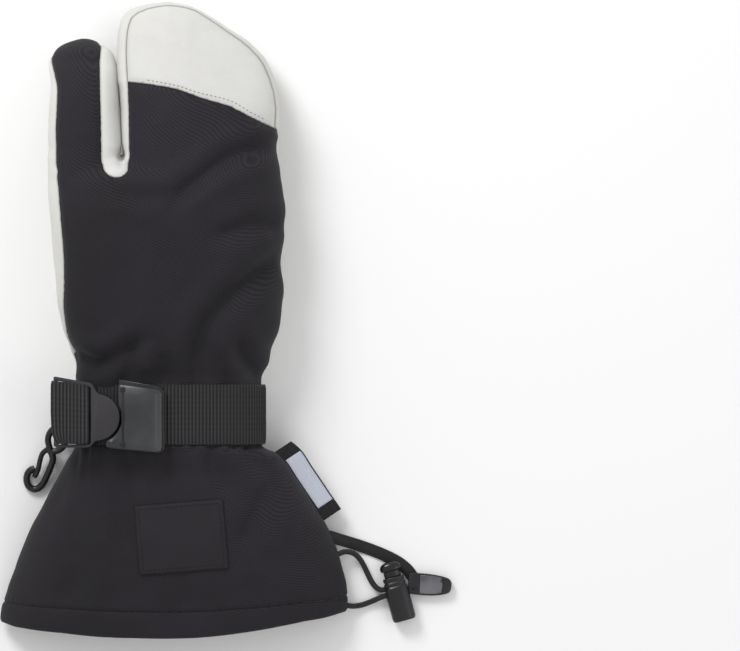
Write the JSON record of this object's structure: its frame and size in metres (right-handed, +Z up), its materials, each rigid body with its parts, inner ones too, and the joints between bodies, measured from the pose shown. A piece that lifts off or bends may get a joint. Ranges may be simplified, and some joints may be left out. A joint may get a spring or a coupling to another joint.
{
  "type": "lobster claw mitt",
  "caption": "Insulated winter mitt with separate index finger and thumb, gauntlet cuff, wrist strap with side-release buckle and hem drawcord with cord lock",
  "frame": {"origin": "on the floor under the middle of the mitt's box, measured without the hem's drawcord, its lock and its pull tab", "axes": "+Y points from the open hem to the fingertips, +Z up through the back of the hand, +X to the side of the little finger"},
  "size_m": [0.2475, 0.35, 0.0664],
  "materials": {
    "softshell": "black woven softshell, matt",
    "leather_white": "off-white goat leather, fine grain",
    "leather_palm": "off-white goat leather, a little warmer, fine grain",
    "webbing": "black ribbed polyester webbing",
    "plastic": "dark grey moulded plastic, satin",
    "plastic_gloss": "black moulded plastic, glossy",
    "label_patch": "plain black flexible patch, matt",
    "label_white": "plain white woven label",
    "elastic_cord": "black braided elastic cord"
  },
  "bodies": {
    "mitt": {"cuff": "softshell", "back_panel": "softshell", "fingertip_cap": "leather_white", "palm_panel": "leather_palm", "side_gusset": "leather_white", "thumb_back": "softshell", "thumb_leather": "leather_white", "strap_back": "webbing", "strap_loop": "webbing", "buckle_frame": "plastic", "buckle_tongue": "plastic", "snap_hook": "plastic", "hook_loop": "webbing", "cuff_label": "label_patch", "side_tag": "webbing", "side_tag_label": "label_white", "drawcord_a": "elastic_cord", "drawcord_b": "elastic_cord", "retaining_tape": "webbing", "cord_lock_barrel": "plastic", "cord_end_tab": "plastic"},
    "lock_button": {"cord_lock_button": "plastic_gloss"}
  },
  "joints": [
    {"name": "lock_button_slide", "type": "slide", "parent": "mitt", "child": "lock_button", "axis": [0.2672, -0.9636, 0], "range_m": [0, 0.0035], "stiffness_N_per_m": 400}
  ]
}
